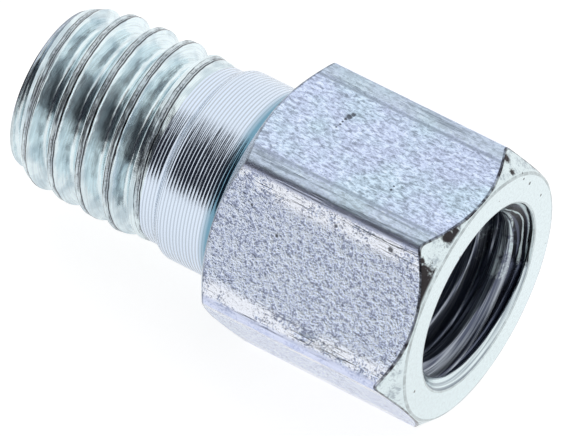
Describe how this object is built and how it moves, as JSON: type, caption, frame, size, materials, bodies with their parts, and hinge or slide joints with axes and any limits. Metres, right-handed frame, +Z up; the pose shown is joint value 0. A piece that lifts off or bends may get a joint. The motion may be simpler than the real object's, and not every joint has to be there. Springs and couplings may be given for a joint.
{
  "type": "grease nipple extension",
  "caption": "Short hexagon adaptor with a tapped hole in one end and a rolled taper thread on a turned neck at the other, joined by a grease passage.",
  "frame": {"origin": "centre of the shoulder, where the neck meets the hexagon", "axes": "+X along the axis towards the tapped end, -X towards the male thread, +Z up with the part lying on one flat of the hexagon, +Y across it"},
  "size_m": [0.0148, 0.0092, 0.008],
  "materials": {
    "zinc_steel": "bright zinc plate over turned and drawn steel"
  },
  "bodies": {
    "root": {"body": "zinc_steel"}
  },
  "joints": []
}
